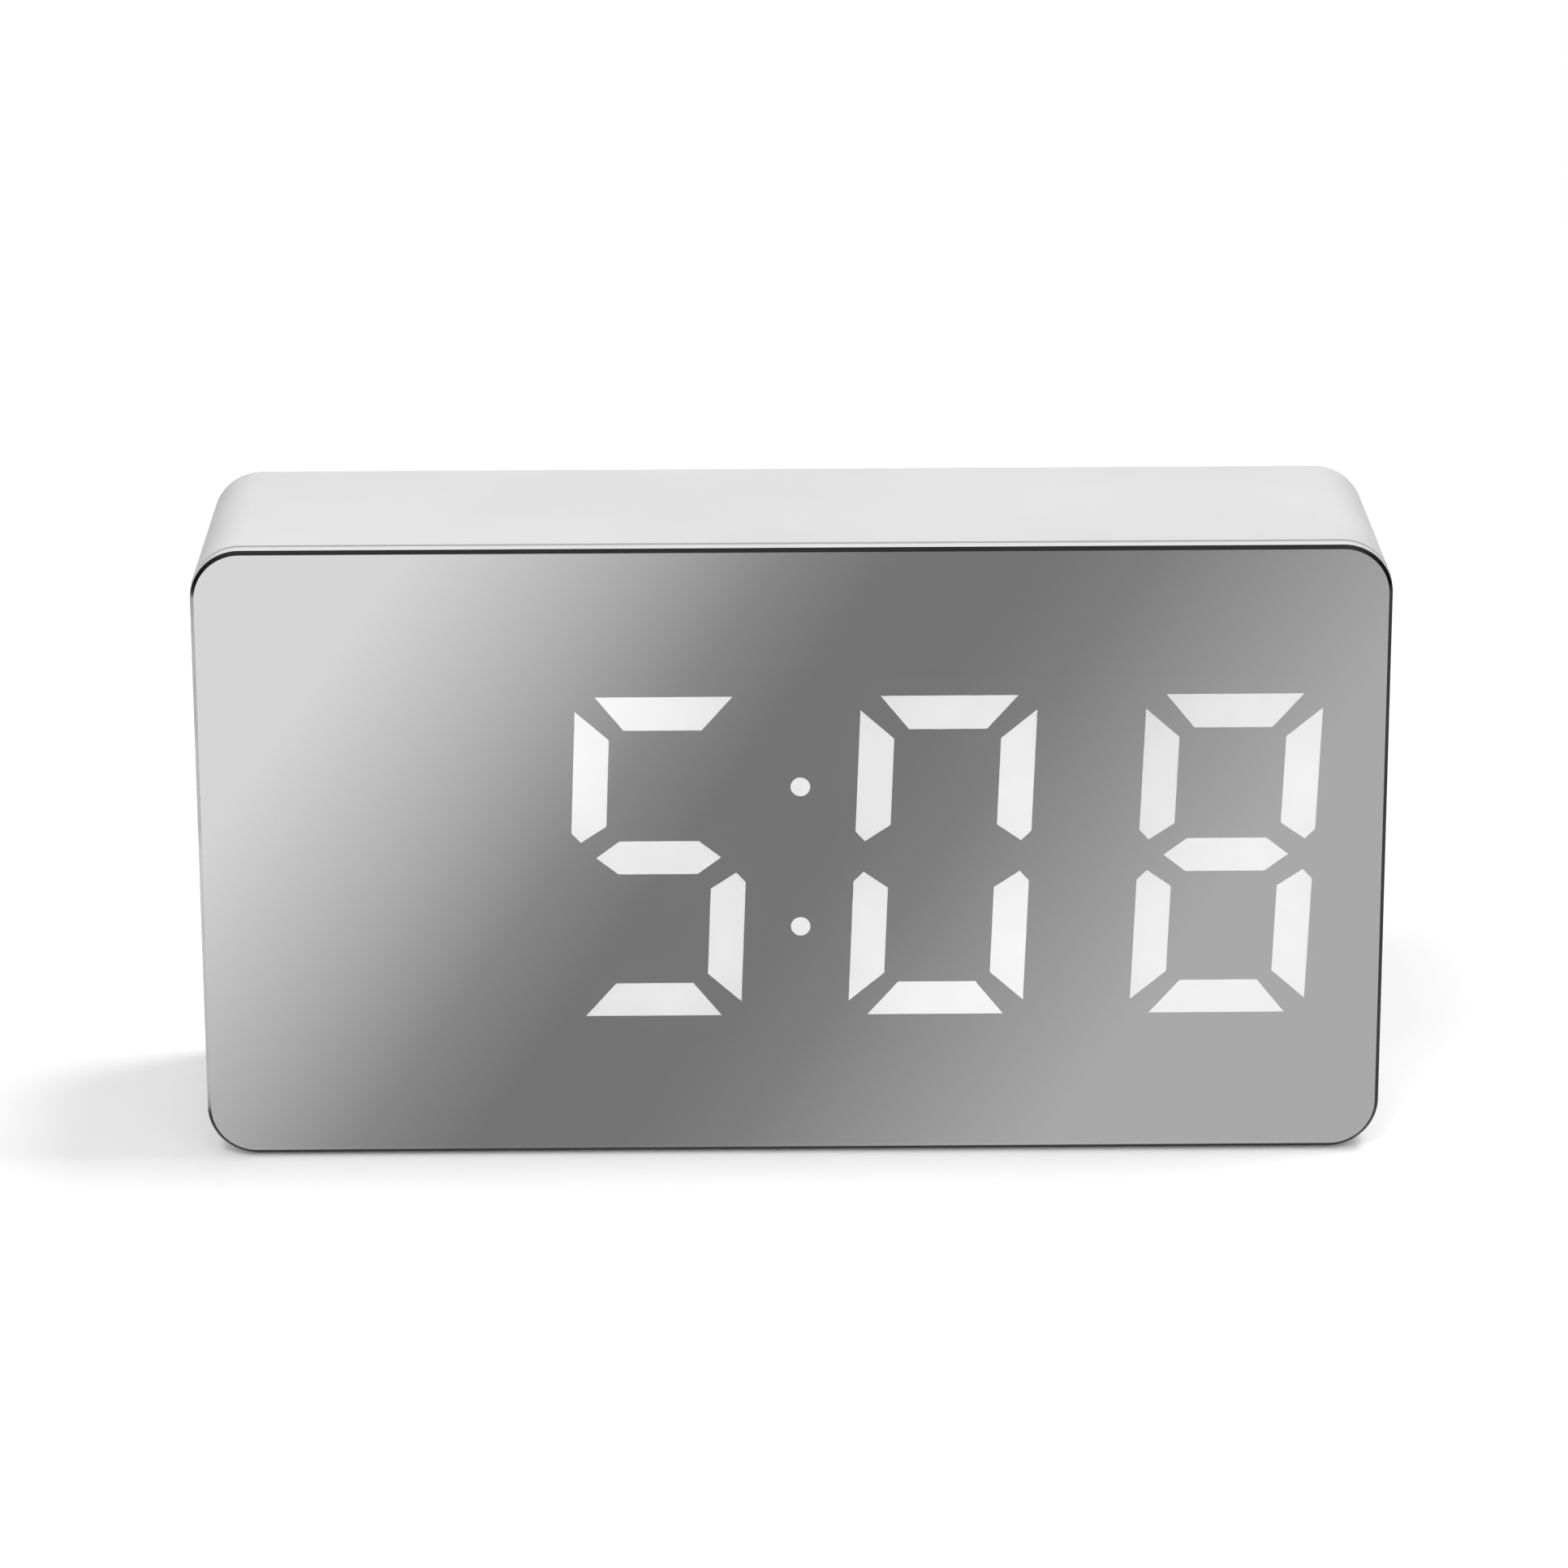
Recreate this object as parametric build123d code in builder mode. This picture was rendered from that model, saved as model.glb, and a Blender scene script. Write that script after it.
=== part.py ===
import os
from math import cos, pi, radians, sin, sqrt, tan

from build123d import *

# Desk clock with a half-mirror front, seven-segment display and a battery bay behind.
# X runs to the right, Y from the mirror to the back and Z up. All lengths are millimetres.

# Case
case_width = 140.0
case_height = 74.8
case_depth = 37.5
corner_radius = 6.0
wall = 2.0
flange_thickness = 2.0
rear_edge_radius = 1.5
boss_radius = 3.2
boss_edge_gap = 3.8
boss_web = 1.4

# Mirror, its tape and the feet
lens_thickness = 2.0
lens_inset = 0.15
lens_edge_chamfer = 0.45
tape_thickness = 0.25
tape_inset = 0.3
tape_window_gap = 0.8
foot_diameter = 9.0
foot_thickness = 1.2
foot_standoff = 0.2
foot_edge_x = 13.0
foot_edge_y = 7.5
foot_clearance = 0.1

# Display: four digits and a colon
face_margin_x = 9.375
face_margin_z = 17.6
digit_width = 20.75
digit_slant = 2.2
segment_width = 4.1
flat_end_inset = 2.3
upright_end_inset = 1.75
mitre_run = 3.5
waist_tip_inset = 1.15
waist_tip_height = 1.9
waist_outer_height = 3.1
waist_inner_height = 3.9
middle_tip_inset = 3.0
middle_run = 2.7
colon_diameter = 2.3
colon_spacing = 17.35
display_shift_x = 0.95
display_drop = 1.1
display_margin_x = 1.5
display_margin_z = 3.5
housing_depth = 8.0
resin_depth = 3.0
gasket_thickness = 0.3
gasket_width = 1.2
window_clearance = 0.3
peg_diameter = 2.0
peg_inset = 1.6
peg_clearance = 0.05
led_length = 2.0
led_width = 1.25
led_height = 0.8
led_end_gap = 0.2
colon_led_side = 1.4
shown_digits = (" ", "5", "0", "8")
lit_letters = {" ": "", "0": "abcdef", "5": "acdfg", "8": "abcdefg"}
digit_names = ("hours_tens", "hours", "minutes_tens", "minutes")

# Circuit boards
board_thickness = 1.6
board_margin_x = 1.6
board_margin_z = 3.4
board_notch_gap = 0.6
standoff_radius = 2.4
standoff_gap = 0.6
standoff_inset = 22.5
key_board_margin = 2.5
key_board_height = 46.0
key_standoff_inset = 3.0

# Parts on the main board
chip_length = 18.0
chip_width = 7.5
chip_height = 2.3
chip_chamfer = 0.3
chip_bay_gap = 11.0
chip_edge_gap = 9.9
lead_count = 14
lead_pitch = 1.27
lead_reach = 1.4
lead_width = 0.45
lead_thickness = 0.25
crystal_length = 10.5
crystal_width = 4.4
crystal_height = 3.5
crystal_rounding = 0.4
crystal_gap = 5.4
capacitor_diameter = 6.3
capacitor_height = 5.4
capacitor_rounding = 0.4
capacitor_bay_gap = 15.0
capacitor_edge_gap = 8.9
resistor_length = 2.0
resistor_width = 1.25
resistor_height = 0.5
resistor_count = 8
resistor_pitch = 4.0
resistor_edge_gap = 8.9
header_length = 17.0
header_width = 5.0
header_height = 2.5
main_header_z = -17.0
key_header_z = 8.0
ribbon_width = 14.0
ribbon_thickness = 0.8
ribbon_bend_share = 0.42

# Rear cover
cover_thickness = 2.4
cover_recess = 1.0
cover_clearance = 0.15
scoop_width = 16.0
scoop_reach = 4.5
scoop_depth = 1.2

# Buttons and their switches
button_diameter = 6.6
button_clearance = 0.2
button_flange_diameter = 8.6
button_flange_thickness = 1.0
button_gap = 0.1
button_proud = 0.8
button_edge = 0.4
button_pitch = 11.0
button_edge_gap = 11.0
button_travel = 0.35
button_names = ("mode", "set", "up", "down")
switch_side = 6.0
switch_body_height = 3.5
switch_height = 5.0
plunger_diameter = 3.4
plunger_clearance = 0.05
plunger_depth = 1.0

# Power inlet and sounder
inlet_width = 8.94
inlet_height = 3.26
inlet_wall = 0.3
inlet_setback = 0.1
inlet_gap = 0.3
inlet_edge_gap = 7.5
tongue_width = 6.7
tongue_thickness = 0.7
tongue_setback = 0.8
tongue_base = 2.0
buzzer_diameter = 12.0
buzzer_height = 5.5
buzzer_chamfer = 0.5
buzzer_port = 2.0
buzzer_port_depth = 1.0
sound_hole = 1.5
sound_ring = 3.6
sound_hole_count = 6

# Battery bay, cells and door
cell_diameter = 10.5
cell_length = 44.5
cell_tip_diameter = 3.8
cell_tip_length = 1.2
cell_edge_radius = 0.4
cell_gap = 0.4
cell_end_play = 0.1
cell_door_gap = 0.3
cell_floor_gap = 0.2
cell_count = 3
bay_edge_gap = 5.0
bay_wall = 1.5
bay_side_gap = 0.2
contact_thickness = 0.4
contact_width = 9.0
contact_margin = 0.4
tab_width = 3.0
tab_reach = 1.4
tab_slot_gap = 0.3
spring_length = 5.0
spring_wire = 0.7
spring_wide_radius = 3.6
spring_narrow_radius = 2.5
spring_turns = 3
lead_diameter = 1.3
lead_sweep_x = 5.5
lead_sweep_z = 2.0
lead_bend_share = 0.28
door_thickness = 1.4
door_lap = 1.7
door_corner_radius = 1.8
door_clearance = 0.2
door_seat_gap = 0.1
door_slit_width = 0.8
door_slit_length = 8.0
door_tongue_width = 12.0
door_grip_width = 9.0
door_grip_depth = 0.4
door_grip_pitch = 1.8
door_grip_count = 3
hook_width = 8.0
hook_thickness = 1.2
hook_reach = 2.1
hook_neck = 1.2
hook_gap = 0.15
hook_inset = 12.5
hook_swing_gap = 0.5

# Screws
case_screw_shaft = 2.6
case_screw_head = 5.0
case_screw_head_height = 1.6
case_screw_length = 9.0
case_screw_counterbore = 1.2
board_screw_shaft = 2.0
board_screw_head = 4.0
board_screw_head_height = 1.3
board_screw_length = 5.0
screw_play = 0.05
screw_hole_play = 0.2
screw_tip_gap = 0.8
head_rounding_share = 0.4
cross_slot_share = 0.62
cross_slot_width = 0.7
cross_slot_depth = 0.7

# Depths, from the mirror face to the rear rim
lens_front = -case_depth / 2
lens_back = lens_front + lens_thickness
case_front = lens_back + tape_thickness
flange_back = case_front + flange_thickness
display_front = lens_back + gasket_thickness
resin_back = display_front + resin_depth
board_front = display_front + housing_depth
board_back = board_front + board_thickness
case_rear = case_depth / 2
cover_back = case_rear - cover_recess
cover_inner = cover_back - cover_thickness
door_inner = cover_back - door_thickness
cell_axis_y = door_inner - cell_door_gap - cell_diameter / 2
bay_floor = cell_axis_y - cell_diameter / 2 - cell_floor_gap
bay_front = bay_floor - bay_wall
flange_gap_face = cover_inner - button_gap
plunger_top = flange_gap_face - button_flange_thickness
key_board_back = plunger_top - switch_height
key_board_front = key_board_back - board_thickness

# Heights and widths that several pieces share
case_middle = foot_standoff + case_height / 2
inner_width = case_width - 2 * wall
inner_height = case_height - 2 * wall
inner_radius = corner_radius - wall
slant = tan(radians(digit_slant))
digit_height = case_height - 2 * face_margin_z
digit_pitch = (case_width - 2 * face_margin_x - digit_width) / 3
housing_width = 3 * digit_pitch + digit_width + digit_height * slant + 2 * display_margin_x
housing_height = digit_height + 2 * display_margin_z
standoff_z = housing_height / 2 + standoff_gap + standoff_radius
board_width = housing_width + 2 * board_margin_x
board_height = 2 * (standoff_z + board_margin_z)
window_width = housing_width + 2 * window_clearance
window_height = housing_height + 2 * window_clearance
cell_pitch = cell_diameter + cell_gap
bay_length = cell_length + spring_length + 2 * contact_thickness + 2 * cell_end_play
bay_height = cell_count * cell_pitch + bay_side_gap
door_width = bay_length + 2 * (bay_wall + door_lap)
door_height = bay_height + 2 * (bay_wall + door_lap)
bay_x = inner_width / 2 - bay_edge_gap - bay_wall - bay_length / 2
bay_left = bay_x - bay_length / 2
bay_right = bay_x + bay_length / 2
tab_end = bay_front - tab_reach
key_board_x = (bay_left - bay_wall - inner_width / 2) / 2
key_board_width = 3 * button_pitch + switch_side + 2 * key_board_margin
button_z = key_board_height / 2 - button_edge_gap
inlet_z = inlet_edge_gap - key_board_height / 2
board_top = board_height / 2 - display_drop
board_bottom = -board_height / 2 - display_drop
chip_x = bay_left + chip_bay_gap
chip_z = board_top - chip_edge_gap
resistor_z = board_top - resistor_edge_gap
capacitor_x = bay_left + capacitor_bay_gap
capacitor_z = board_bottom + capacitor_edge_gap
boss_x = inner_width / 2 - boss_edge_gap - boss_radius
boss_z = inner_height / 2 - boss_edge_gap / 2 - boss_radius
digit_places = [display_shift_x + (n - 1.5) * digit_pitch for n in range(4)]
boss_places = [(sx * boss_x, sz * boss_z) for sx in (-1, 1) for sz in (-1, 1)]
standoff_places = [
    (display_shift_x + sx * (board_width / 2 - standoff_inset), sz * standoff_z - display_drop)
    for sx in (-1, 1)
    for sz in (-1, 1)
]
key_standoff_places = [
    (
        key_board_x + sx * (key_board_width / 2 - key_standoff_inset),
        sz * (key_board_height / 2 - key_standoff_inset),
    )
    for sx in (-1, 1)
    for sz in (-1, 1)
]
button_places = [(key_board_x + (1.5 - n) * button_pitch, button_z) for n in range(4)]
peg_places = [
    (
        display_shift_x + sx * (housing_width / 2 - peg_inset),
        sz * (housing_height / 2 - peg_inset) - display_drop,
    )
    for sx in (-1, 1)
    for sz in (-1, 1)
]
cell_heights = [((cell_count - 1) / 2 - n) * cell_pitch for n in range(cell_count)]
hook_places = [bay_x + side * (door_width / 2 - hook_inset) for side in (-1, 1)]
foot_places = [
    (sx * (case_width / 2 - foot_edge_x), sy * (case_depth / 2 - foot_edge_y) + tape_thickness)
    for sx in (-1, 1)
    for sy in (-1, 1)
]


# A sketch plane across the clock at depth y: X right, Z up from the middle of the case, facing the front
def across(y, x=0.0, z=0.0):
    return Plane(origin=(x, y, case_middle + z), x_dir=(1, 0, 0), z_dir=(0, -1, 0))


# One finished piece, named and written out
def finish(piece, name):
    piece.label = name
    export_step(piece, f"parts/{name}.step")


# The corners of one segment, from the middle of its digit, leaning with the digit
def segment_outline(letter):
    half_w = digit_width / 2
    half_h = digit_height / 2
    half_s = segment_width / 2
    if letter == "g":
        tip = half_w - middle_tip_inset
        flat = tip - middle_run
        corners = [(-tip, 0), (-flat, half_s), (flat, half_s), (tip, 0), (flat, -half_s), (-flat, -half_s)]
    elif letter in "ad":
        outer = half_w - flat_end_inset
        inner = outer - mitre_run
        shelf = half_h - segment_width
        corners = [(-outer, half_h), (outer, half_h), (inner, shelf), (-inner, shelf)]
    else:
        inner_x = half_w - segment_width
        top = half_h - upright_end_inset
        corners = [
            (-half_w, top),
            (-inner_x, top - mitre_run),
            (-inner_x, waist_inner_height),
            (-half_w + waist_tip_inset, waist_tip_height),
            (-half_w, waist_outer_height),
        ]
    side = -1 if letter in "bc" else 1
    level = -1 if letter in "cde" else 1
    return [(side * x + level * z * slant, level * z) for x, z in corners]


# Where the light emitters of one segment sit, from the middle of its digit
def emitter_places(letter):
    far_x = (digit_width - segment_width) / 2
    far_z = (digit_height - segment_width) / 2
    spare = led_length / 2 + led_end_gap
    if letter in "adg":
        z = {"a": far_z, "d": -far_z, "g": 0.0}[letter]
        step = digit_width / 2 - flat_end_inset - mitre_run - spare
        return [(side * step + z * slant, z) for side in (-1, 1)]
    x = far_x if letter in "bc" else -far_x
    straight_top = digit_height / 2 - upright_end_inset - mitre_run
    step = (straight_top - waist_inner_height) / 2 - spare
    middle = (straight_top + waist_inner_height) / 2
    middle = -middle if letter in "ce" else middle
    return [(x + (middle + side * step) * slant, middle + side * step) for side in (-1, 1)]


# The resin windows of some segments of one digit
def segment_windows(digit_x, letters):
    with BuildPart() as windows:
        with BuildSketch(across(resin_back, digit_x, -display_drop)):
            for letter in letters:
                Polygon(*segment_outline(letter), align=None)
        extrude(amount=resin_depth)
    return windows.part


# A set of pan-head screws seated at depth y; forward is 1 where the shafts point at the mirror
def screw_set(seat_y, places, head, head_height, shaft, length, forward):
    with BuildPart() as screws:
        with BuildSketch(across(seat_y)):
            with Locations(*places):
                Circle(head / 2)
        extrude(amount=-forward * head_height)
        head_faces = screws.faces().group_by(Axis.Y)[-1 if forward > 0 else 0]
        fillet(head_faces.edges(), head_height * head_rounding_share)
        with BuildSketch(across(seat_y)):
            with Locations(*places):
                Circle(shaft / 2)
        extrude(amount=forward * length)
        with BuildSketch(across(seat_y + forward * head_height)):
            with Locations(*places):
                Rectangle(head * cross_slot_share, cross_slot_width)
                Rectangle(cross_slot_width, head * cross_slot_share)
        extrude(amount=forward * cross_slot_depth, mode=Mode.SUBTRACT)
    return screws.part


# Two arcs that leave one point along one direction and reach another along a second
def biarc(start, start_way, end, end_way):
    gap = end - start
    both = start_way + end_way
    a = 2 * (1 - start_way.dot(end_way))
    b = 2 * gap.dot(both)
    reach = (sqrt(b * b + 4 * a * gap.dot(gap)) - b) / (2 * a)
    first = start + start_way * reach
    second = end - end_way * reach
    joint = (first + second) / 2
    TangentArc(start, joint, tangent=start_way)
    TangentArc(joint, end, tangent=second - first)


# A tapered contact spring: its wide end on the plate at seat_x, its narrow end towards the cell
def contact_spring(seat_x, z, way):
    rise = spring_length - spring_wire
    steps = 4 * spring_turns

    def place(share):
        turn = 2 * pi * spring_turns * share
        radius = spring_wide_radius + (spring_narrow_radius - spring_wide_radius) * share
        x = seat_x + way * (spring_wire / 2 + rise * share)
        return Vector(x, cell_axis_y + radius * cos(turn), case_middle + z + radius * sin(turn))

    def heading(share):
        step = 0.0001
        return (place(share + step) - place(share - step)).normalized()

    with BuildPart() as spring:
        with BuildLine() as coil:
            for n in range(steps):
                share = n / steps
                after = (n + 1) / steps
                biarc(place(share), heading(share), place(after), heading(after))
        with BuildSketch(Plane(origin=place(0), z_dir=heading(0))):
            Circle(spring_wire / 2)
        sweep(path=coil.wires()[0])
    return spring.part


# An insulated lead from a contact tab to the main board
def battery_lead(tab_x, tab_z, side):
    room = tab_end - board_back
    bend = room * lead_bend_share
    height = case_middle + tab_z
    turn = tab_end - room / 2
    landing = (tab_x + side * lead_sweep_x, height - lead_sweep_z)
    with BuildPart() as lead:
        with BuildLine() as route:
            FilletPolyline(
                (tab_x, tab_end, height),
                (tab_x, turn, height),
                (landing[0], turn, landing[1]),
                (landing[0], board_back, landing[1]),
                radius=bend,
            )
        with BuildSketch(Plane(origin=(tab_x, tab_end, height), z_dir=(0, -1, 0))):
            Circle(lead_diameter / 2)
        sweep(path=route.wires()[0])
    return lead.part


os.makedirs("parts", exist_ok=True)

# Half-mirror front panel with a small ground edge
with BuildPart() as mirror_lens:
    with BuildSketch(across(lens_back)):
        RectangleRounded(case_width - 2 * lens_inset, case_height - 2 * lens_inset,
                         corner_radius - lens_inset)
    extrude(amount=lens_thickness)
    chamfer(mirror_lens.faces().sort_by(Axis.Y)[0].edges(), lens_edge_chamfer)
finish(mirror_lens.part, "mirror_lens")

# Double-sided tape between the mirror and the case
with BuildPart() as lens_tape:
    with BuildSketch(across(case_front)):
        RectangleRounded(case_width - 2 * tape_inset, case_height - 2 * tape_inset,
                         corner_radius - tape_inset)
        with Locations((display_shift_x, -display_drop)):
            Rectangle(window_width + 2 * tape_window_gap, window_height + 2 * tape_window_gap,
                      mode=Mode.SUBTRACT)
    extrude(amount=tape_thickness)
finish(lens_tape.part, "lens_tape")

# Case: a sleeve with a front flange, screw bosses, board standoffs and foot seats
with BuildPart() as front_case:
    with BuildSketch(across(case_rear)):
        RectangleRounded(case_width, case_height, corner_radius)
    extrude(amount=case_rear - case_front)
    fillet(front_case.faces().sort_by(Axis.Y)[-1].edges(), rear_edge_radius)
    with BuildSketch(across(case_rear)):
        RectangleRounded(inner_width, inner_height, inner_radius)
    extrude(amount=case_rear - flange_back, mode=Mode.SUBTRACT)
    with BuildSketch(across(flange_back, display_shift_x, -display_drop)):
        Rectangle(window_width, window_height)
    extrude(amount=flange_thickness, mode=Mode.SUBTRACT)
    with BuildSketch(across(cover_inner)):
        for x, z in boss_places:
            side = 1 if x > 0 else -1
            level = 1 if z > 0 else -1
            web_x = inner_width / 2 - boss_x
            web_z = inner_height / 2 - boss_z
            with Locations((x, z)):
                Circle(boss_radius)
            with Locations((x + side * web_x / 2, z)):
                Rectangle(web_x, boss_web)
            with Locations((x, z + level * web_z / 2)):
                Rectangle(boss_web, web_z)
    extrude(amount=cover_inner - flange_back)
    with BuildSketch(across(cover_inner)):
        with Locations(*boss_places):
            Circle(case_screw_shaft / 2 + screw_play)
    extrude(amount=case_screw_length + screw_tip_gap, mode=Mode.SUBTRACT)
    with BuildSketch(across(board_front)):
        with Locations(*standoff_places):
            Circle(standoff_radius)
    extrude(amount=board_front - flange_back)
    with BuildSketch(across(board_front)):
        with Locations(*standoff_places):
            Circle(board_screw_shaft / 2 + screw_play)
    extrude(amount=board_screw_length + screw_tip_gap - board_thickness, mode=Mode.SUBTRACT)
    with BuildSketch(Plane.XY.offset(foot_standoff)):
        with Locations(*foot_places):
            Circle(foot_diameter / 2 + foot_clearance)
    extrude(amount=foot_thickness - foot_standoff, mode=Mode.SUBTRACT)
finish(front_case.part, "front_case")

# Stick-on feet in shallow seats under the case
with BuildPart() as rubber_feet:
    with BuildSketch(Plane.XY):
        with Locations(*foot_places):
            Circle(foot_diameter / 2)
    extrude(amount=foot_thickness)
    chamfer(rubber_feet.faces().group_by(Axis.Z)[0].edges(), foot_standoff / 2)
finish(rubber_feet.part, "rubber_feet")

# Opaque block of the display, with one light well for each segment and each colon dot
with BuildPart() as display_housing:
    with BuildSketch(across(board_front, display_shift_x, -display_drop)):
        Rectangle(housing_width, housing_height)
    extrude(amount=housing_depth)
    with BuildSketch(across(board_front)):
        for digit_x in digit_places:
            with Locations((digit_x, -display_drop)):
                for letter in "abcdefg":
                    Polygon(*segment_outline(letter), align=None)
        with Locations((display_shift_x, -display_drop)):
            with GridLocations(0, colon_spacing, 1, 2):
                Circle(colon_diameter / 2)
    extrude(amount=housing_depth, mode=Mode.SUBTRACT)
    with BuildSketch(across(board_front)):
        with Locations(*peg_places):
            Circle(peg_diameter / 2)
    extrude(amount=-board_thickness)
finish(display_housing.part, "display_housing")

# Resin windows: the lit segments of each digit, and those that stay dark
for digit_x, digit_name, digit in zip(digit_places, digit_names, shown_digits):
    lit = lit_letters[digit]
    dark = "".join(letter for letter in "abcdefg" if letter not in lit)
    if lit:
        finish(segment_windows(digit_x, lit), f"{digit_name}_lit_segments")
    if dark:
        finish(segment_windows(digit_x, dark), f"{digit_name}_dark_segments")

# Resin windows of the two colon dots
with BuildPart() as colon_dots:
    with BuildSketch(across(resin_back, display_shift_x, -display_drop)):
        with GridLocations(0, colon_spacing, 1, 2):
            Circle(colon_diameter / 2)
    extrude(amount=resin_depth)
finish(colon_dots.part, "colon_dots")

# Light emitters at the bottom of the segment wells
with BuildPart() as led_chips:
    for digit_x in digit_places:
        for letter in "abcdefg":
            upright = letter not in "adg"
            with BuildSketch(across(board_front, digit_x, -display_drop)):
                with Locations(*emitter_places(letter)):
                    Rectangle(led_width if upright else led_length, led_length if upright else led_width)
            extrude(amount=led_height)
finish(led_chips.part, "led_chips")

# Light emitters of the colon, small enough for its round wells
with BuildPart() as colon_leds:
    with BuildSketch(across(board_front, display_shift_x, -display_drop)):
        with GridLocations(0, colon_spacing, 1, 2):
            Rectangle(colon_led_side, colon_led_side)
    extrude(amount=led_height)
finish(colon_leds.part, "colon_leds")

# Foam frame that stops light leaking between the display and the mirror
with BuildPart() as light_gasket:
    with BuildSketch(across(display_front, display_shift_x, -display_drop)):
        Rectangle(housing_width, housing_height)
        Rectangle(housing_width - 2 * gasket_width, housing_height - 2 * gasket_width, mode=Mode.SUBTRACT)
    extrude(amount=gasket_thickness)
finish(light_gasket.part, "light_gasket")

# Main board, notched round the case bosses
with BuildPart() as main_board:
    with BuildSketch(across(board_back)):
        with Locations((display_shift_x, -display_drop)):
            Rectangle(board_width, board_height)
        for x, z in boss_places:
            side = 1 if x > 0 else -1
            level = 1 if z > 0 else -1
            notch = boss_radius + board_notch_gap
            span_x = board_width / 2
            span_z = board_height / 2
            with Locations((x + side * (span_x / 2 - notch), z + level * (span_z / 2 - notch))):
                Rectangle(span_x, span_z, mode=Mode.SUBTRACT)
        with Locations(*standoff_places):
            Circle(board_screw_shaft / 2 + screw_hole_play, mode=Mode.SUBTRACT)
        with Locations(*peg_places):
            Circle(peg_diameter / 2 + peg_clearance, mode=Mode.SUBTRACT)
    extrude(amount=board_thickness)
finish(main_board.part, "main_board")

# Controller chip and its two rows of leads
with BuildPart() as controller_chip:
    with BuildSketch(across(board_back + chip_height, chip_x, chip_z)):
        Rectangle(chip_length, chip_width)
    extrude(amount=chip_height - lead_thickness)
    chamfer(controller_chip.faces().sort_by(Axis.Y)[-1].edges(), chip_chamfer)
finish(controller_chip.part, "controller_chip")

with BuildPart() as controller_leads:
    with BuildSketch(across(board_back + lead_thickness, chip_x, chip_z)):
        with GridLocations(lead_pitch, chip_width + lead_reach, lead_count, 2):
            Rectangle(lead_width, 2 * lead_reach)
    extrude(amount=lead_thickness)
finish(controller_leads.part, "controller_leads")

# Quartz crystal can beside the chip
with BuildPart() as quartz_crystal:
    with BuildSketch(across(board_back + crystal_height, chip_x, chip_z - chip_width / 2 - crystal_gap)):
        SlotOverall(crystal_length, crystal_width)
    extrude(amount=crystal_height)
    fillet(quartz_crystal.faces().sort_by(Axis.Y)[-1].edges(), crystal_rounding)
finish(quartz_crystal.part, "quartz_crystal")

# Smoothing capacitor
with BuildPart() as filter_capacitor:
    with BuildSketch(across(board_back + capacitor_height, capacitor_x, capacitor_z)):
        Circle(capacitor_diameter / 2)
    extrude(amount=capacitor_height)
    fillet(filter_capacitor.faces().sort_by(Axis.Y)[-1].edges(), capacitor_rounding)
finish(filter_capacitor.part, "filter_capacitor")

# Row of resistors that set the segment current
with BuildPart() as segment_resistors:
    with BuildSketch(across(board_back + resistor_height, key_board_x, resistor_z)):
        with GridLocations(resistor_pitch, 0, resistor_count, 1):
            Rectangle(resistor_width, resistor_length)
    extrude(amount=resistor_height)
finish(segment_resistors.part, "segment_resistors")

# Pin headers of the two boards and the flat cable between them
with BuildPart() as main_header:
    with BuildSketch(across(board_back + header_height, key_board_x, main_header_z)):
        Rectangle(header_length, header_width)
    extrude(amount=header_height)
finish(main_header.part, "main_header")

with BuildPart() as key_header:
    with BuildSketch(across(key_board_front, key_board_x, key_header_z)):
        Rectangle(header_length, header_width)
    extrude(amount=header_height)
finish(key_header.part, "key_header")

with BuildPart() as flat_cable:
    cable_start = board_back + header_height
    cable_end = key_board_front - header_height
    cable_run = (cable_start + cable_end) / 2
    with BuildLine() as cable_route:
        FilletPolyline(
            (key_board_x, cable_start, case_middle + main_header_z),
            (key_board_x, cable_run, case_middle + main_header_z),
            (key_board_x, cable_run, case_middle + key_header_z),
            (key_board_x, cable_end, case_middle + key_header_z),
            radius=(cable_end - cable_start) * ribbon_bend_share,
        )
    with BuildSketch(across(cable_start, key_board_x, main_header_z)):
        Rectangle(ribbon_width, ribbon_thickness)
    sweep(path=cable_route.wires()[0])
finish(flat_cable.part, "flat_cable")

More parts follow.
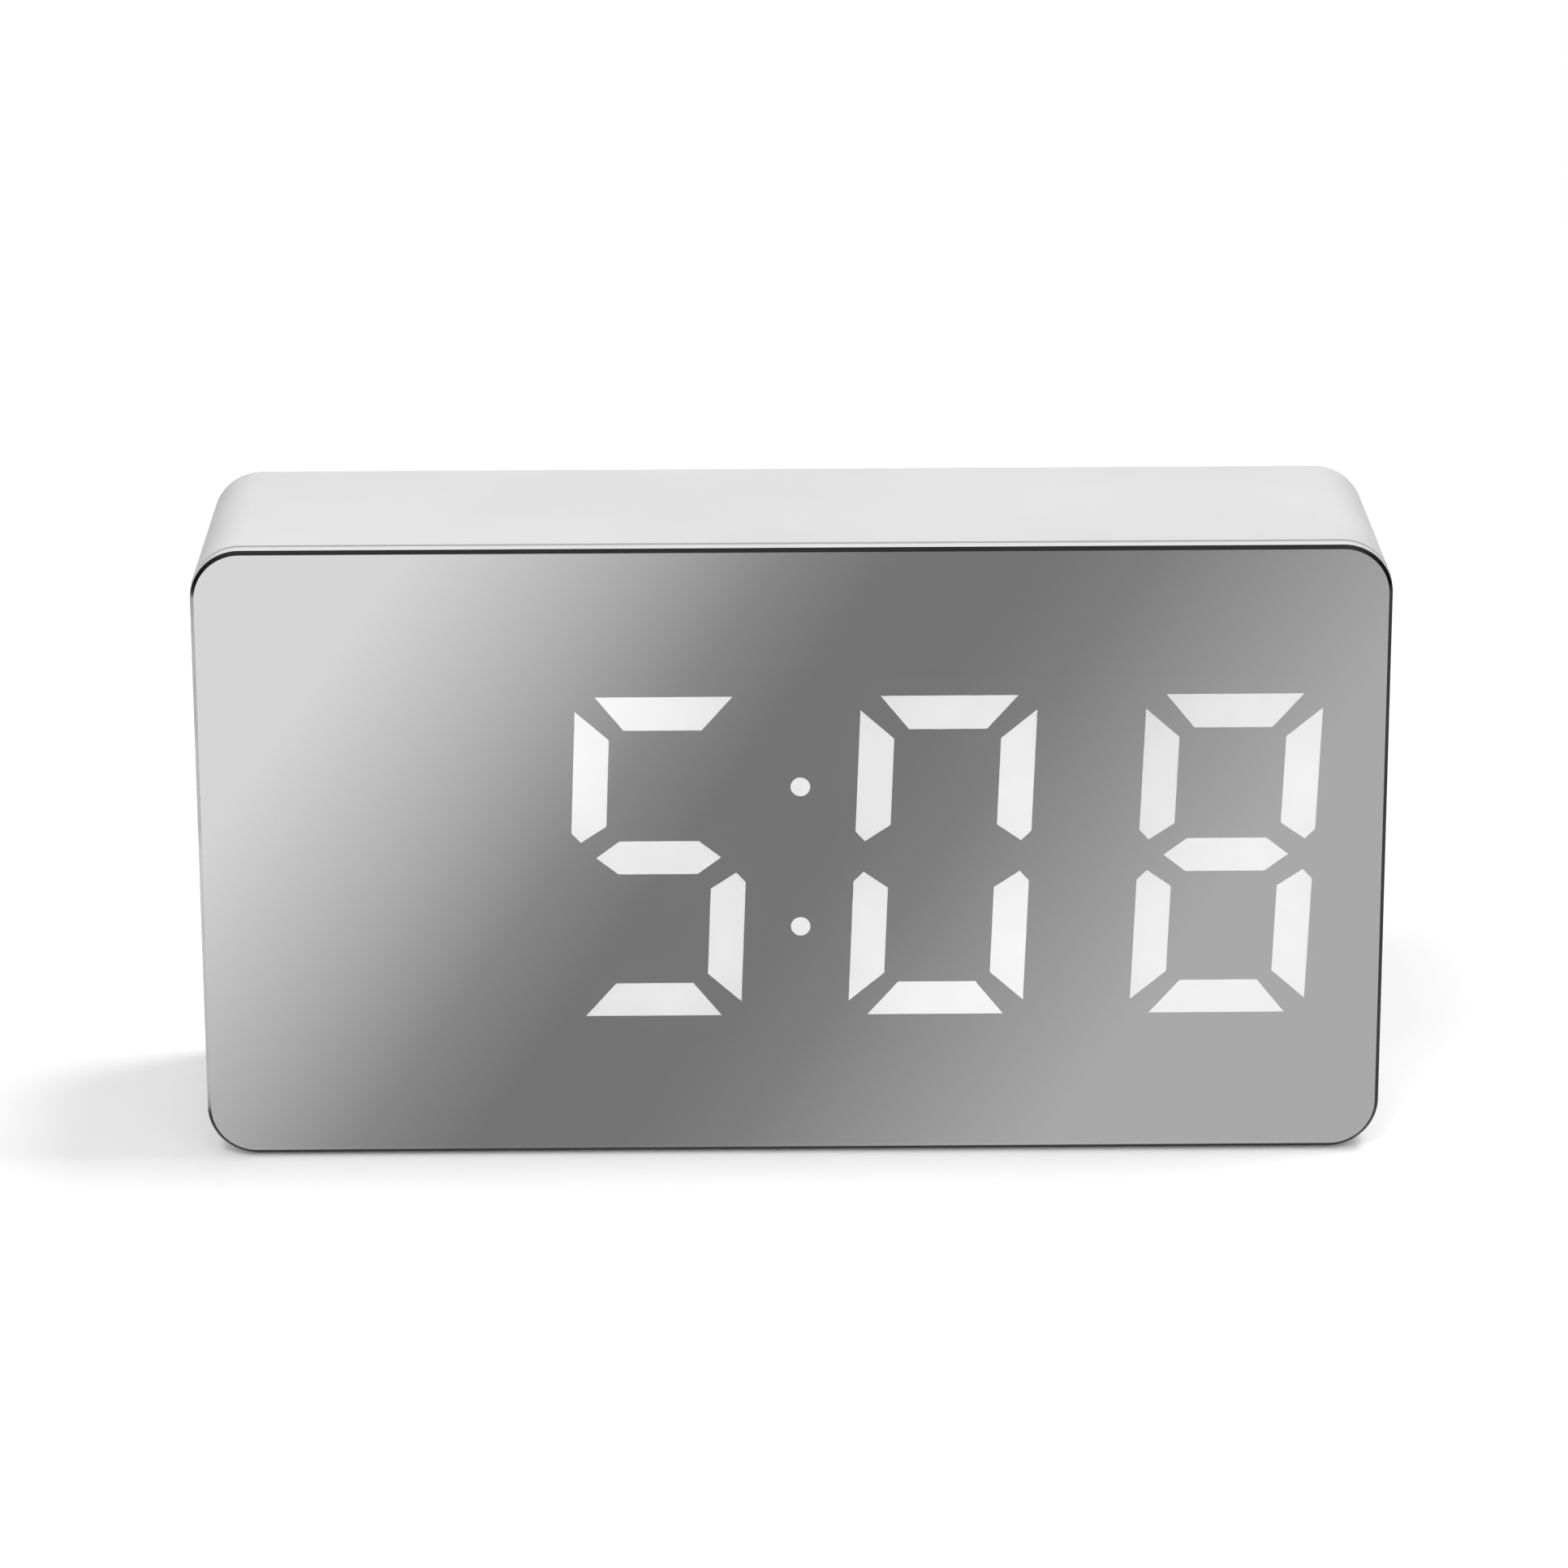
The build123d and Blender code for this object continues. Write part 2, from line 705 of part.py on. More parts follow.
# Rear cover: plate, battery bay, board standoffs and all its openings
with BuildPart() as rear_cover:
    with BuildSketch(across(cover_back)):
        RectangleRounded(inner_width - 2 * cover_clearance, inner_height - 2 * cover_clearance,
                         inner_radius - cover_clearance)
    extrude(amount=cover_thickness)
    with BuildSketch(across(cover_inner, bay_x)):
        Rectangle(bay_length + 2 * bay_wall, bay_height + 2 * bay_wall)
    extrude(amount=cover_inner - bay_front)
    with BuildSketch(across(cover_inner)):
        with Locations(*key_standoff_places):
            Circle(standoff_radius)
    extrude(amount=cover_inner - key_board_back)
    with BuildSketch(across(key_board_back)):
        with Locations(*key_standoff_places):
            Circle(board_screw_shaft / 2 + screw_play)
    extrude(amount=-(board_screw_length + screw_tip_gap - board_thickness), mode=Mode.SUBTRACT)
    with BuildSketch(across(cover_back, bay_x)):
        Rectangle(bay_length, bay_height)
    extrude(amount=cover_back - bay_floor, mode=Mode.SUBTRACT)
    with BuildSketch(across(cover_back, bay_x)):
        RectangleRounded(door_width + 2 * door_clearance, door_height + 2 * door_clearance,
                         door_corner_radius + door_clearance)
    extrude(amount=door_thickness + door_seat_gap, mode=Mode.SUBTRACT)
    with BuildSketch(across(cover_back, bay_x, door_height / 2)):
        SlotOverall(scoop_width, 2 * scoop_reach)
    extrude(amount=scoop_depth, mode=Mode.SUBTRACT)
    hook_depth = cover_thickness + hook_gap + hook_thickness
    hook_swing = sqrt(hook_depth ** 2 + hook_reach ** 2) + hook_swing_gap
    hook_notch = door_lap + bay_wall + door_clearance
    with BuildSketch(across(cover_back)):
        for x in hook_places:
            with Locations((x, -door_height / 2 - door_clearance + hook_notch / 2)):
                Rectangle(hook_width + 2 * hook_swing_gap, hook_notch)
    extrude(amount=hook_swing, mode=Mode.SUBTRACT)
    with BuildSketch(across(bay_floor)):
        for x, z in (
            (bay_left + contact_thickness / 2, cell_heights[0]),
            (bay_right - contact_thickness / 2, cell_heights[-1]),
        ):
            with Locations((x, z)):
                Rectangle(contact_thickness + 2 * tab_slot_gap, tab_width + 2 * tab_slot_gap)
    extrude(amount=bay_wall, mode=Mode.SUBTRACT)
    with BuildSketch(across(cover_back)):
        with Locations(*button_places):
            Circle(button_diameter / 2 + button_clearance)
        with Locations((key_board_x, inlet_z)):
            SlotOverall(inlet_width + 2 * inlet_gap, inlet_height + 2 * inlet_gap)
        with Locations((key_board_x, 0)):
            Circle(sound_hole / 2)
            with PolarLocations(sound_ring, sound_hole_count):
                Circle(sound_hole / 2)
        with Locations(*boss_places):
            Circle(case_screw_shaft / 2 + screw_hole_play)
    extrude(amount=cover_thickness, mode=Mode.SUBTRACT)
    with BuildSketch(across(cover_back)):
        with Locations(*boss_places):
            Circle(case_screw_head / 2 + screw_hole_play)
    extrude(amount=case_screw_counterbore, mode=Mode.SUBTRACT)
finish(rear_cover.part, "rear_cover")

# Battery door with two hooks below and a sprung tongue with finger grooves above
with BuildPart() as battery_door:
    with BuildSketch(across(cover_back, bay_x)):
        RectangleRounded(door_width, door_height, door_corner_radius)
        for side in (-1, 1):
            slit_x = side * (door_tongue_width + door_slit_width) / 2
            with Locations((slit_x, door_height / 2 - door_slit_length / 2)):
                Rectangle(door_slit_width, door_slit_length, mode=Mode.SUBTRACT)
    extrude(amount=door_thickness)
    with BuildSketch(across(cover_back, bay_x, door_height / 2 - door_slit_length / 2)):
        with GridLocations(0, door_grip_pitch, 1, door_grip_count):
            SlotOverall(door_grip_width, door_grip_pitch / 2)
    extrude(amount=door_grip_depth, mode=Mode.SUBTRACT)
    hook_back = cover_inner - hook_gap
    hook_front = hook_back - hook_thickness
    neck_bottom = -door_height / 2 + door_clearance / 2
    with BuildSketch(across(door_inner)):
        for x in hook_places:
            with Locations((x, neck_bottom + hook_neck / 2)):
                Rectangle(hook_width, hook_neck)
    extrude(amount=door_inner - hook_front)
    with BuildSketch(across(hook_back)):
        for x in hook_places:
            with Locations((x, neck_bottom - hook_reach / 2)):
                Rectangle(hook_width, hook_reach)
    extrude(amount=hook_thickness)
finish(battery_door.part, "battery_door")

# Cells: top and bottom with the tip to the left, the middle one turned round
cell_names = ("top", "middle", "bottom")
for n, (cell_name, z) in enumerate(zip(cell_names, cell_heights)):
    way = -1 if n % 2 == 0 else 1
    tip_end = bay_left if way < 0 else bay_right
    shoulder = tip_end - way * (contact_thickness + cell_end_play + cell_tip_length)
    can_plane = Plane(origin=(shoulder, cell_axis_y, case_middle + z), x_dir=(0, 1, 0), z_dir=(way, 0, 0))
    with BuildPart() as cell:
        with BuildSketch(can_plane):
            Circle(cell_diameter / 2)
        extrude(amount=-(cell_length - cell_tip_length))
        fillet(cell.edges().filter_by(GeomType.CIRCLE), cell_edge_radius)
        with BuildSketch(can_plane):
            Circle(cell_tip_diameter / 2)
        extrude(amount=cell_tip_length)
    finish(cell.part, f"{cell_name}_cell")

# Contact plates: one at each end of the chain with a solder tab, and two that link a pair of cells
contact_depth = cover_inner - contact_margin - bay_floor
with BuildPart() as contact_plates:
    for side in (-1, 1):
        single_z = cell_heights[0] if side < 0 else cell_heights[-1]
        pair_z = sum(cell_heights[1:] if side < 0 else cell_heights[:-1]) / 2
        plate_x = bay_left if side < 0 else bay_right - contact_thickness
        plate_plane = Plane(origin=(plate_x, bay_floor, case_middle), x_dir=(0, 1, 0), z_dir=(1, 0, 0))
        with BuildSketch(plate_plane):
            with Locations((contact_depth / 2, single_z)):
                Rectangle(contact_depth, contact_width)
            with Locations((contact_depth / 2, pair_z)):
                Rectangle(contact_depth, cell_pitch * (cell_count - 2) + contact_width)
            with Locations(((tab_end - bay_floor) / 2, single_z)):
                Rectangle(bay_floor - tab_end, tab_width)
        extrude(amount=contact_thickness)
finish(contact_plates.part, "contact_plates")

# Contact springs behind the flat end of each cell
for n, (cell_name, z) in enumerate(zip(cell_names, cell_heights)):
    way = -1 if n % 2 == 0 else 1
    seat_x = bay_right - contact_thickness if way < 0 else bay_left + contact_thickness
    finish(contact_spring(seat_x, z, way), f"{cell_name}_contact_spring")

# Leads from the two end contacts to the main board
finish(battery_lead(bay_left + contact_thickness / 2, cell_heights[0], -1), "positive_lead")
finish(battery_lead(bay_right - contact_thickness / 2, cell_heights[-1], -1), "negative_lead")

# Key board behind the buttons
with BuildPart() as key_board:
    with BuildSketch(across(key_board_back)):
        with Locations((key_board_x, 0)):
            Rectangle(key_board_width, key_board_height)
        with Locations(*key_standoff_places):
            Circle(board_screw_shaft / 2 + screw_hole_play, mode=Mode.SUBTRACT)
    extrude(amount=board_thickness)
finish(key_board.part, "key_board")

# Switch bodies, each bored for its plunger
with BuildPart() as key_switches:
    with BuildSketch(across(key_board_back + switch_body_height)):
        with Locations(*button_places):
            Rectangle(switch_side, switch_side)
    extrude(amount=switch_body_height)
    with BuildSketch(across(key_board_back + switch_body_height)):
        with Locations(*button_places):
            Circle(plunger_diameter / 2 + plunger_clearance)
    extrude(amount=plunger_depth + 2 * button_travel, mode=Mode.SUBTRACT)
finish(key_switches.part, "key_switches")

# Buttons and the switch plungers that they press
for button_name, (x, z) in zip(button_names, button_places):
    with BuildPart() as button:
        with BuildSketch(across(cover_back + button_proud, x, z)):
            Circle(button_diameter / 2)
        extrude(amount=cover_back + button_proud - plunger_top)
        fillet(button.faces().sort_by(Axis.Y)[-1].edges(), button_edge)
        with BuildSketch(across(flange_gap_face, x, z)):
            Circle(button_flange_diameter / 2)
        extrude(amount=button_flange_thickness)
    finish(button.part, f"{button_name}_button")
    with BuildPart() as plunger:
        with BuildSketch(across(plunger_top, x, z)):
            Circle(plunger_diameter / 2)
        extrude(amount=switch_height - switch_body_height + plunger_depth)
    finish(plunger.part, f"{button_name}_plunger")

# Power inlet: metal shell and the insulating tongue inside it
inlet_mouth = cover_back - inlet_setback
with BuildPart() as inlet_shell:
    with BuildSketch(across(inlet_mouth, key_board_x, inlet_z)):
        SlotOverall(inlet_width, inlet_height)
        SlotOverall(inlet_width - 2 * inlet_wall, inlet_height - 2 * inlet_wall, mode=Mode.SUBTRACT)
    extrude(amount=inlet_mouth - key_board_back)
finish(inlet_shell.part, "inlet_shell")

with BuildPart() as inlet_tongue:
    with BuildSketch(across(key_board_back + tongue_base, key_board_x, inlet_z)):
        SlotOverall(inlet_width - 2 * inlet_wall, inlet_height - 2 * inlet_wall)
    extrude(amount=tongue_base)
    with BuildSketch(across(inlet_mouth - tongue_setback, key_board_x, inlet_z)):
        Rectangle(tongue_width, tongue_thickness)
    extrude(amount=inlet_mouth - tongue_setback - key_board_back)
finish(inlet_tongue.part, "inlet_tongue")

# Alarm sounder behind the ring of sound holes
with BuildPart() as buzzer:
    with BuildSketch(across(key_board_back + buzzer_height, key_board_x)):
        Circle(buzzer_diameter / 2)
    extrude(amount=buzzer_height)
    chamfer(buzzer.faces().sort_by(Axis.Y)[-1].edges(), buzzer_chamfer)
    with BuildSketch(across(key_board_back + buzzer_height, key_board_x)):
        Circle(buzzer_port / 2)
    extrude(amount=buzzer_port_depth, mode=Mode.SUBTRACT)
finish(buzzer.part, "buzzer")

# Screws of the rear cover, of the main board and of the key board
case_seat = cover_back - case_screw_counterbore
case_shaft = case_seat - cover_inner + case_screw_length
finish(
    screw_set(case_seat, boss_places, case_screw_head, case_screw_head_height, case_screw_shaft,
              case_shaft, 1),
    "case_screws",
)
finish(
    screw_set(board_back, standoff_places, board_screw_head, board_screw_head_height, board_screw_shaft,
              board_screw_length, 1),
    "board_screws",
)
finish(
    screw_set(key_board_front, key_standoff_places, board_screw_head, board_screw_head_height,
              board_screw_shaft, board_screw_length, -1),
    "key_board_screws",
)
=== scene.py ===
from math import cos, pi, radians, sin

import bmesh
import bpy
from mathutils import Euler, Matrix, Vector


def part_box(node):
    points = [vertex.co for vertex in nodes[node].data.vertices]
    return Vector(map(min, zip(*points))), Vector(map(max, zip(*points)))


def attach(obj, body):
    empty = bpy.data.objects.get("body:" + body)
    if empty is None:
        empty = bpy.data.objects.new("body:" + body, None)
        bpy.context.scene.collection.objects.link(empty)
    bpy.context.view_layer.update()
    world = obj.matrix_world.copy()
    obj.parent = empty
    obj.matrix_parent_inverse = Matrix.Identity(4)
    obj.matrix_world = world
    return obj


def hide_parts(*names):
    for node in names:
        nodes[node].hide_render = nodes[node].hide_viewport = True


# Desk clock with a half-mirror front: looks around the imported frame, in metres
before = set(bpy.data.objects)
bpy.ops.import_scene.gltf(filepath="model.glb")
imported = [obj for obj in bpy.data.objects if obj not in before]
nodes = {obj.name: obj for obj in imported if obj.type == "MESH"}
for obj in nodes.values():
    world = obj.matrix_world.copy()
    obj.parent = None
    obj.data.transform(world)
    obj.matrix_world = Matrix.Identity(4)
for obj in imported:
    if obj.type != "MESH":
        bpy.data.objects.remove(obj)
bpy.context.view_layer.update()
scene = bpy.context.scene
mm = 0.001
print("frame loaded:", len(nodes), "nodes")


def linear(hexCode):  # sRGB hex to linear colour
    parts = [int(hexCode[i:i + 2], 16) / 255 for i in (0, 2, 4)]
    return [c / 12.92 if c <= 0.04045 else ((c + 0.055) / 1.055) ** 2.4 for c in parts] + [1.0]


def addNode(tree, kind, settings, inputs):  # a node with its settings, fixed values and links
    node = tree.nodes.new("ShaderNode" + kind)
    for key, value in settings.items():
        setattr(node, key, value)
    for key, value in inputs.items():
        if isinstance(value, bpy.types.NodeSocket):
            tree.links.new(value, node.inputs[key])
        else:
            node.inputs[key].default_value = value
    return node


def setStops(ramp, stops):  # colour stops of a ramp, as (place, linear colour)
    stopList = ramp.color_ramp.elements
    while len(stopList) < len(stops):
        stopList.new(1.0)
    for stop, (place, colour) in zip(stopList, stops):
        stop.position = place
        stop.color = colour


def newMaterial(name):
    material = bpy.data.materials.new(name)
    material.use_nodes = True
    material.node_tree.nodes.clear()
    return material, material.node_tree


def dress(material, *names):  # a finish on CAD nodes, kept in the objects' own slots
    for name in names:
        for materialSlot in nodes[name].material_slots:
            materialSlot.link = "OBJECT"
            materialSlot.material = material


# Share of fine grain in the patchiness, and where the two together turn from shade to full colour
grainMix = {"fineShare": 0.35, "shadeAt": 0.42, "colourAt": 0.92}


# Finishes that differ only in their numbers: a slow patchiness, a fine grain and its bump
def grainFinish(look):
    material, tree = newMaterial(look["name"])
    place = addNode(tree, "TexCoord", {}, {}).outputs["Object"]
    stretched = addNode(tree, "Mapping", {}, {"Vector": place, "Scale": look.get("stretch", (1, 1, 1))})
    grain = addNode(tree, "TexNoise", {}, {
        "Vector": stretched.outputs[0], "Scale": 1 / (look["grain"] * mm), "Detail": 2.0, "Roughness": 0.6})
    patch = addNode(tree, "TexNoise", {}, {
        "Vector": place, "Scale": 1 / (look["patch"] * mm), "Detail": 3.0, "Roughness": 0.5})
    mixed = addNode(tree, "Math", {"operation": "MULTIPLY_ADD"}, {
        0: grain.outputs["Fac"], 1: grainMix["fineShare"], 2: patch.outputs["Fac"]})
    colours = addNode(tree, "ValToRGB", {}, {"Fac": mixed.outputs[0]})
    setStops(colours, [
        (grainMix["shadeAt"], linear(look["shade"])), (grainMix["colourAt"], linear(look["colour"]))])
    rough = addNode(tree, "MapRange", {}, {
        "Value": mixed.outputs[0], "From Min": grainMix["shadeAt"], "From Max": grainMix["colourAt"],
        "To Min": look["roughness"][0], "To Max": look["roughness"][1]})
    relief = addNode(tree, "Bump", {}, {
        "Height": grain.outputs["Fac"], "Distance": look["depth"] * mm, "Strength": 1.0})
    shader = addNode(tree, "BsdfPrincipled", {}, {
        "Base Color": colours.outputs[0], "Roughness": rough.outputs[0], "Normal": relief.outputs[0],
        "Metallic": look.get("metallic", 0.0), "IOR": look.get("ior", 1.5)})
    addNode(tree, "OutputMaterial", {}, {"Surface": shader.outputs[0]})
    return material


# White ABS from a spark-eroded mould: soft sheen, a grain felt more than seen
whiteAbs = grainFinish({
    "name": "abs_white_spark_moulded", "colour": "DDDDDD", "shade": "D8D8D8", "roughness": (0.44, 0.56),
    "grain": 0.35, "depth": 0.012, "patch": 28, "ior": 1.54})
# Pale grey ABS from a polished mould: the keys are smoother than the case
greyAbs = grainFinish({
    "name": "abs_grey_polished_mould", "colour": "A9ABAD", "shade": "A2A4A6", "roughness": (0.3, 0.38),
    "grain": 0.5, "depth": 0.004, "patch": 6, "ior": 1.54})
# Grey ink of the key symbols: flat, a little broken at the grain
greyInk = grainFinish({
    "name": "ink_grey_pad_printed", "colour": "55585B", "shade": "4B4E51", "roughness": (0.5, 0.62),
    "grain": 0.2, "depth": 0.004, "patch": 3, "ior": 1.5})
# Black ABS of the display block and the small fittings: matt so that it swallows stray light
blackAbs = grainFinish({
    "name": "abs_black_matt_moulded", "colour": "1B1B1C", "shade": "141415", "roughness": (0.6, 0.75),
    "grain": 0.3, "depth": 0.01, "patch": 12, "ior": 1.54})
# Segment resin that isn't lit: smoke-grey, waxy
darkResin = grainFinish({
    "name": "epoxy_resin_diffusing_unlit", "colour": "252525", "shade": "1E1E1E", "roughness": (0.5, 0.6),
    "grain": 0.4, "depth": 0.004, "patch": 5, "ior": 1.52})
# Moulded epoxy of chips and resistors: dusty black
blackEpoxy = grainFinish({
    "name": "epoxy_black_transfer_moulded", "colour": "2A2A2C", "shade": "212123", "roughness": (0.55, 0.7),
    "grain": 0.15, "depth": 0.006, "patch": 4, "ior": 1.55})
# Cream package of the light emitters
ledPackage = grainFinish({
    "name": "nylon_cream_led_package", "colour": "EFE8CF", "shade": "E6DDBE", "roughness": (0.35, 0.45),
    "grain": 0.2, "depth": 0.003, "patch": 2, "ior": 1.53})
# Rubber of the feet: dull, with a chalky bloom
rubberPad = grainFinish({
    "name": "rubber_grey_die_cut", "colour": "3A3A3A", "shade": "2E2E2E", "roughness": (0.8, 0.92),
    "grain": 0.25, "depth": 0.02, "patch": 3, "ior": 1.52})
# Foam of the light seal: open cells, black
blackFoam = grainFinish({
    "name": "foam_black_die_cut", "colour": "161616", "shade": "0D0D0D", "roughness": (0.9, 0.97),
    "grain": 0.35, "depth": 0.05, "patch": 4, "ior": 1.4})
# Milky double-sided tape
clearTape = grainFinish({
    "name": "tape_acrylic_foam_milky", "colour": "DCDBD4", "shade": "D0CFC7", "roughness": (0.4, 0.55),
    "grain": 0.4, "depth": 0.006, "patch": 8, "ior": 1.47})
# Soft vinyl on the two battery leads
redVinyl = grainFinish({
    "name": "pvc_red_extruded", "colour": "B3261E", "shade": "A31E18", "roughness": (0.3, 0.42),
    "grain": 0.3, "depth": 0.004, "patch": 4, "ior": 1.53})
blackVinyl = grainFinish({
    "name": "pvc_black_extruded", "colour": "1D1D1E", "shade": "161617", "roughness": (0.3, 0.42),
    "grain": 0.3, "depth": 0.004, "patch": 4, "ior": 1.53})
# Bright zinc on the screws: bluish, slightly mottled
zincSteel = grainFinish({
    "name": "steel_zinc_plated_screw", "colour": "B4B8BC", "shade": "9EA3A8", "roughness": (0.24, 0.36),
    "grain": 0.3, "depth": 0.006, "patch": 1.5, "metallic": 1.0})
# Nickel plate on springs, contacts and the inlet shell: warm, drawn along the strip
nickelSteel = grainFinish({
    "name": "steel_nickel_plated_strip", "colour": "C6C2BA", "shade": "B2AEA6", "roughness": (0.18, 0.3),
    "grain": 0.25, "depth": 0.004, "patch": 3, "stretch": (1, 0.15, 1), "metallic": 1.0})
# Tin on the chip's leads: soft white metal
tinnedMetal = grainFinish({
    "name": "copper_tin_plated_lead", "colour": "CFCFCC", "shade": "BDBDB9", "roughness": (0.3, 0.42),
    "grain": 0.15, "depth": 0.004, "patch": 1.2, "metallic": 1.0})
# Drawn aluminium cans: fine lines round the wall
bareCan = grainFinish({
    "name": "aluminium_deep_drawn_can", "colour": "C9CBCD", "shade": "B9BBBE", "roughness": (0.22, 0.34),
    "grain": 0.2, "depth": 0.003, "patch": 3, "stretch": (1, 0.1, 1), "metallic": 1.0})
# Gold flash on the inlet's contacts
goldFlash = grainFinish({
    "name": "copper_gold_flashed_contact", "colour": "E2BE6C", "shade": "D2AA56", "roughness": (0.16, 0.26),
    "grain": 0.1, "depth": 0.002, "patch": 0.8, "metallic": 1.0})
print("plain finishes made")


# Acrylic with a vacuum-coated half mirror: a grey reflection, with light from behind shining through
def halfMirrorFilm(look):
    material, tree = newMaterial("acrylic_half_mirror_film")
    place = addNode(tree, "TexCoord", {}, {}).outputs["Object"]
    haze = addNode(tree, "TexNoise", {}, {
        "Vector": place, "Scale": 1 / (look["hazePatch"] * mm), "Detail": 4.0, "Roughness": 0.55})
    rough = addNode(tree, "MapRange", {}, {
        "Value": haze.outputs["Fac"], "From Min": look["hazeSpan"][0], "From Max": look["hazeSpan"][1],
        "To Min": look["roughness"][0], "To Max": look["roughness"][1]})
    waves = addNode(tree, "TexNoise", {}, {
        "Vector": place, "Scale": 1 / (look["sheetWave"] * mm), "Detail": 1.0})
    relief = addNode(tree, "Bump", {}, {
        "Height": waves.outputs["Fac"], "Distance": look["waveDepth"] * mm, "Strength": 1.0})
    shader = addNode(tree, "BsdfPrincipled", {}, {
        "Base Color": linear(look["silver"]), "Metallic": 1.0, "Roughness": rough.outputs[0],
        "Normal": relief.outputs[0], "Alpha": 1 - look["seeThrough"]})
    addNode(tree, "OutputMaterial", {}, {"Surface": shader.outputs[0]})
    return material


mirrorFilm = halfMirrorFilm({
    "silver": "EDEDED", "seeThrough": 0.2, "roughness": (0.03, 0.05), "hazePatch": 18,
    "hazeSpan": (0.3, 0.7), "sheetWave": 35, "waveDepth": 0.003})

# The acrylic's bevel, ground and painted black: the thin dark line round the mirror
blackBevel = grainFinish({
    "name": "acrylic_bevel_ground_black", "colour": "0E0E0E", "shade": "080808", "roughness": (0.22, 0.3),
    "grain": 0.2, "depth": 0.001, "patch": 10, "ior": 1.34})
# The acrylic's sawn and polished edge: milky, close to the case's white
paleEdge = grainFinish({
    "name": "acrylic_edge_polished_milky", "colour": "E4E4E4", "shade": "DEDEDE", "roughness": (0.25, 0.35),
    "grain": 0.4, "depth": 0.003, "patch": 15, "ior": 1.49})

# Black screen print behind the acrylic: it hides the tape and the case round the display
blackPrint = grainFinish({
    "name": "ink_black_screen_printed", "colour": "0C0C0C", "shade": "080808", "roughness": (0.6, 0.7),
    "grain": 0.3, "depth": 0.003, "patch": 8, "ior": 1.5})


# Clear back of the acrylic: only a trace of gloss
def clearBack(look):
    material, tree = newMaterial("acrylic_clear_back")
    place = addNode(tree, "TexCoord", {}, {}).outputs["Object"]
    haze = addNode(tree, "TexNoise", {}, {
        "Vector": place, "Scale": 1 / (look["hazePatch"] * mm), "Detail": 2.0})
    rough = addNode(tree, "MapRange", {}, {
        "Value": haze.outputs["Fac"], "To Min": look["roughness"][0], "To Max": look["roughness"][1]})
    shader = addNode(tree, "BsdfPrincipled", {}, {
        "Base Color": linear(look["tint"]), "Roughness": rough.outputs[0], "IOR": look["ior"],
        "Alpha": look["cover"]})
    addNode(tree, "OutputMaterial", {}, {"Surface": shader.outputs[0]})
    return material


clearAcrylic = clearBack({
    "tint": "101010", "cover": 0.1, "roughness": (0.08, 0.2), "hazePatch": 12, "ior": 1.49})


# Segment resin lit from behind: flat off-white, a shade fuller in soft random patches
def litSegments(name, strength, look):
    material, tree = newMaterial("epoxy_resin_lit_" + name)
    place = addNode(tree, "TexCoord", {}, {}).outputs["Object"]
    cloud = addNode(tree, "TexNoise", {}, {
        "Vector": place, "Scale": 1 / (look["cloud"] * mm), "Detail": 1.0})
    glow = addNode(tree, "ValToRGB", {}, {"Fac": cloud.outputs["Fac"]})
    setStops(glow, [(look["dimAt"], linear(look["dimmer"])), (look["fullAt"], linear(look["fuller"]))])
    shader = addNode(tree, "BsdfPrincipled", {}, {
        "Base Color": linear(look["resin"]), "Roughness": look["roughness"], "IOR": look["ior"],
        "Emission Color": glow.outputs[0], "Emission Strength": strength})
    addNode(tree, "OutputMaterial", {}, {"Surface": shader.outputs[0]})
    return material


segmentLook = {
    "resin": "E8E8E6", "dimmer": "FAFAFA", "fuller": "FFFFFF", "dimAt": 0.3, "fullAt": 0.7, "cloud": 3.5,
    "roughness": 0.55, "ior": 1.52}
glowStrength = {"hours": 3.0, "minutes_tens": 3.0, "minutes": 2.28, "colon": 3.4}
litResin = {}
for name, strength in glowStrength.items():
    litResin[name] = litSegments(name, strength, segmentLook)


# Glass-epoxy board under green solder mask: copper runs show as paler lines
def solderMask(look):
    material, tree = newMaterial("board_glass_epoxy_green_mask")
    place = addNode(tree, "TexCoord", {}, {}).outputs["Object"]
    flat = addNode(tree, "Mapping", {}, {"Vector": place, "Rotation": (radians(90), 0, 0)})
    runs = addNode(tree, "TexBrick", {"offset": 0.5, "squash": 0.6}, {
        "Vector": flat.outputs[0], "Scale": 1.0, "Mortar Size": look["runWidth"] * mm,
        "Mortar Smooth": look["runSoft"], "Brick Width": look["runLength"] * mm,
        "Row Height": look["runSpacing"] * mm})
    weave = addNode(tree, "TexNoise", {}, {"Vector": place, "Scale": 1 / (look["weave"] * mm), "Detail": 2.0})
    tint = addNode(tree, "ValToRGB", {}, {"Fac": weave.outputs["Fac"]})
    setStops(tint, [(look["maskAt"], linear(look["mask"])), (look["paleAt"], linear(look["maskPale"]))])
    copper = addNode(tree, "Mix", {"data_type": "RGBA"}, {
        "Factor": runs.outputs["Fac"], 6: tint.outputs[0], 7: linear(look["overCopper"])})
    relief = addNode(tree, "Bump", {}, {
        "Height": runs.outputs["Fac"], "Distance": look["copperLift"] * mm, "Strength": look["liftShown"]})
    shader = addNode(tree, "BsdfPrincipled", {}, {
        "Base Color": copper.outputs[2], "Roughness": look["roughness"], "IOR": look["ior"],
        "Normal": relief.outputs[0]})
    addNode(tree, "OutputMaterial", {}, {"Surface": shader.outputs[0]})
    return material


greenBoard = solderMask({
    "mask": "0E4A2B", "maskPale": "135A35", "overCopper": "2C7A4B", "runWidth": 0.22, "runSpacing": 1.6,
    "runLength": 9.6, "runSoft": 0.2, "weave": 0.6, "maskAt": 0.35, "paleAt": 0.7, "copperLift": 0.03,
    "liftShown": 0.6, "roughness": 0.3, "ior": 1.5})
